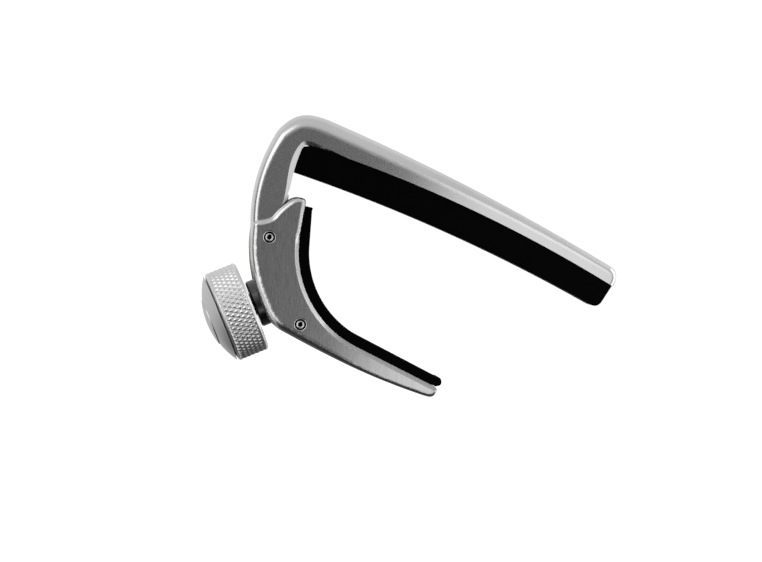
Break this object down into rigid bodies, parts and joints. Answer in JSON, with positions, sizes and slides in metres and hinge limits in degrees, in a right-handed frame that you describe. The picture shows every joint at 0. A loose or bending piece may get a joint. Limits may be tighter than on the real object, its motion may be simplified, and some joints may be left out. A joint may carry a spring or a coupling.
{
  "type": "guitar capo",
  "caption": "Screw-adjusted guitar capo: C-shaped metal frame with a long rubber string pad, a hinged jaw with a curved rubber pad and a knurled knob that closes it.",
  "frame": {"origin": "middle of the string pad's contact face, on the capo's mid-plane", "axes": "+X along the arm, across the strings, towards the open end; +Y along the strings and the hinge pin; +Z out of the strings, through the arm"},
  "size_m": [0.0759, 0.0186, 0.0513],
  "materials": {
    "satin_alloy": "bead-blasted satin, clear anodised",
    "turned_alloy": "turned and knurled, satin anodised",
    "bright_steel": "fine turned",
    "spring_steel": "drawn wire",
    "bearing_brass": "turned",
    "black_rubber": "matte moulded"
  },
  "bodies": {
    "frame": {"frame": "satin_alloy", "string_pad": "black_rubber", "screw_bush": "bright_steel", "pivot_bush_near": "bearing_brass", "pivot_bush_far": "bearing_brass", "return_spring": "spring_steel"},
    "jaw": {"jaw": "satin_alloy", "jaw_pad": "black_rubber", "wear_plate": "bright_steel", "pivot_barrel": "bright_steel", "pivot_screw": "bright_steel", "stop_barrel": "bright_steel", "stop_screw": "bright_steel", "stop_sleeve": "bright_steel"},
    "thrust_foot": {"thrust_shoe": "bright_steel", "shoe_clip": "spring_steel"},
    "knob": {"knob": "turned_alloy", "knob_cap": "turned_alloy", "cap_disc": "turned_alloy", "adjusting_screw": "bright_steel", "knob_washer": "bright_steel", "knob_fixing_screw": "bright_steel"}
  },
  "joints": [
    {"name": "screw_slide", "type": "slide", "parent": "frame", "child": "thrust_foot", "axis": [0.6947, 0, 0.7193], "range_m": [0, 0.0028]},
    {"name": "knob_spin", "type": "hinge", "parent": "thrust_foot", "child": "knob", "pos_m": [-0.0283, 0, -0.0292], "axis": [0.6947, 0, 0.7193], "range_deg": [0, 1260]},
    {"name": "jaw_swing", "type": "hinge", "parent": "frame", "child": "jaw", "pos_m": [-0.0309, 0, -0.0153], "axis": [0, -1, 0], "range_deg": [0, 14], "deforming": ["return_spring"]}
  ],
  "couplings": [
    {"joint": "screw_slide", "follows": "knob_spin", "m_per_rad": 0.00012732},
    {"joint": "jaw_swing", "follows": "knob_spin", "ratio": 0.011111}
  ]
}
